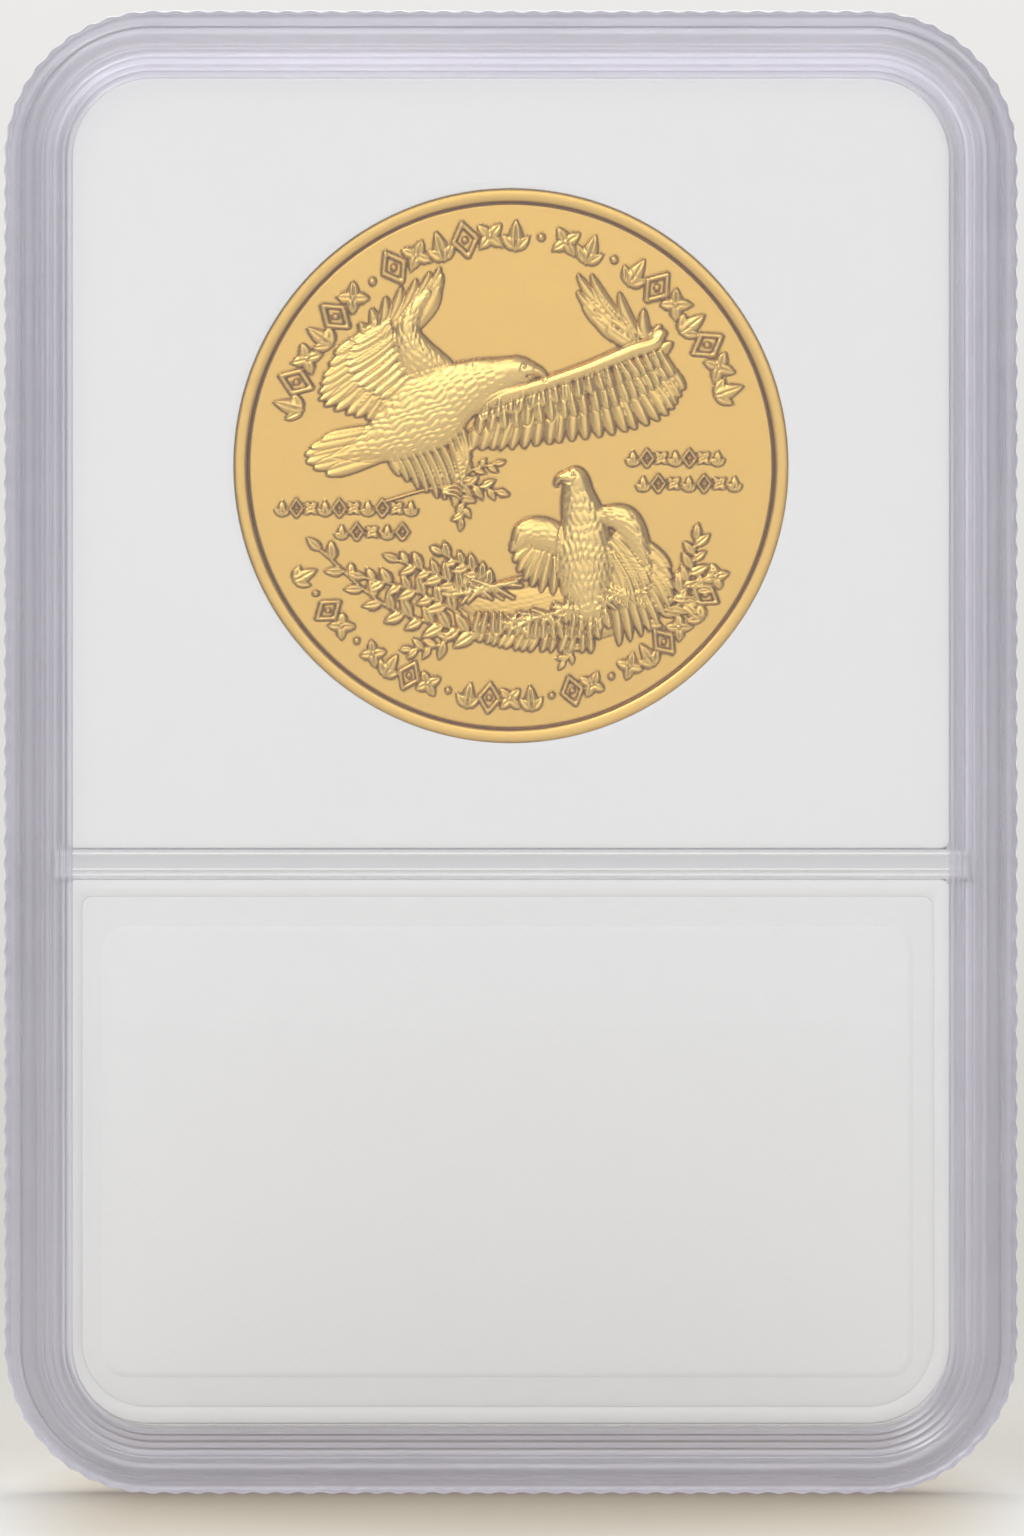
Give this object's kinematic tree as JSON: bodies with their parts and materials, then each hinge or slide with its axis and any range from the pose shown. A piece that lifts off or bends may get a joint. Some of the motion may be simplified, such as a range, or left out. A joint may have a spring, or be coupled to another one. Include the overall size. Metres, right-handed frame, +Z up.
{
  "type": "graded coin slab",
  "caption": "Sealed clear plastic coin slab with a scalloped edge, a white insert holding a gold coin, and a blank label bay under a clear divider bar.",
  "frame": {"origin": "middle of the bottom edge, half way through the thickness", "axes": "+X across the slab, +Z up it, +Y out of the front (label) face, so the coin's reverse faces -Y"},
  "size_m": [0.0598, 0.008, 0.0875],
  "materials": {
    "clear_shell": "polished clear polystyrene with a faint lavender cast in its thick frame",
    "clear_bar": "clear moulded polystyrene",
    "white_insert": "smooth satin white",
    "gold": "struck, satin fields and brighter relief",
    "white_board": "smooth satin white",
    "blank_card": "uncoated smooth card",
    "printed_card": null,
    "foil": "blank matt foil patch"
  },
  "bodies": {
    "root": {"rear_shell": "clear_shell", "front_shell": "clear_shell", "divider_bar": "clear_bar", "coin_insert": "white_insert", "coin": "gold", "label_board": "white_board", "rear_label": "blank_card", "front_label": "printed_card", "security_foil": "foil"}
  },
  "joints": []
}
